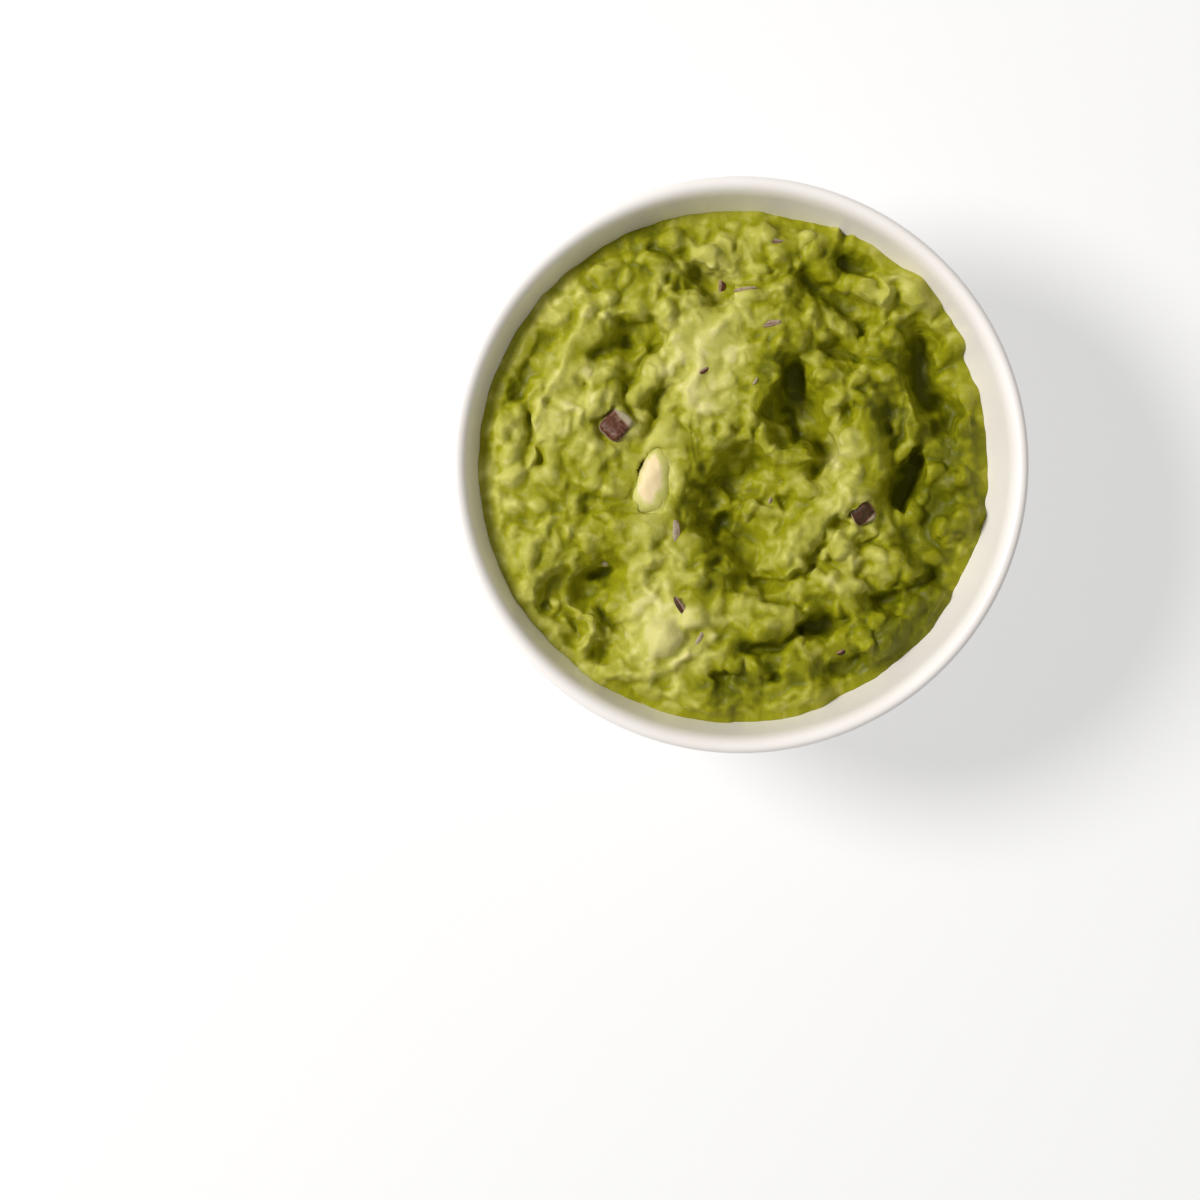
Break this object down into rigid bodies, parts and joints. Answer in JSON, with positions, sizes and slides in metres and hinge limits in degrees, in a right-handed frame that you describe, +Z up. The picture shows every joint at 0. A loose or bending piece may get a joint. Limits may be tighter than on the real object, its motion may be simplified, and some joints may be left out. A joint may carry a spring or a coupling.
{
  "type": "bowl of guacamole",
  "caption": "Chunky guacamole with a pale avocado chunk and diced red onion, heaped to a spooned, uneven surface in a round white dip bowl.",
  "frame": {"origin": "centre of the bowl's flat foot, on the surface that it stands on", "axes": "+Z up out of the bowl; +X and +Y lie in the table's plane, +Y towards the far side as seen from above"},
  "size_m": [0.105, 0.105, 0.048],
  "materials": {
    "bowl_glaze": "clear gloss glaze over warm white stoneware, soft reflections",
    "mashed_avocado": "moist mashed avocado, yellow-green, translucent, with a soft wet gloss on its lumps",
    "avocado_flesh": "cut avocado flesh, cream at its heart and green at its side, smooth and moist",
    "red_onion": "purple-brown onion skin over pale, translucent flesh, wet"
  },
  "bodies": {
    "root": {"bowl": "bowl_glaze", "guacamole": "mashed_avocado", "avocado_chunk": "avocado_flesh", "red_onion_dice_large": "red_onion", "red_onion_dice_small": "red_onion"}
  },
  "joints": []
}
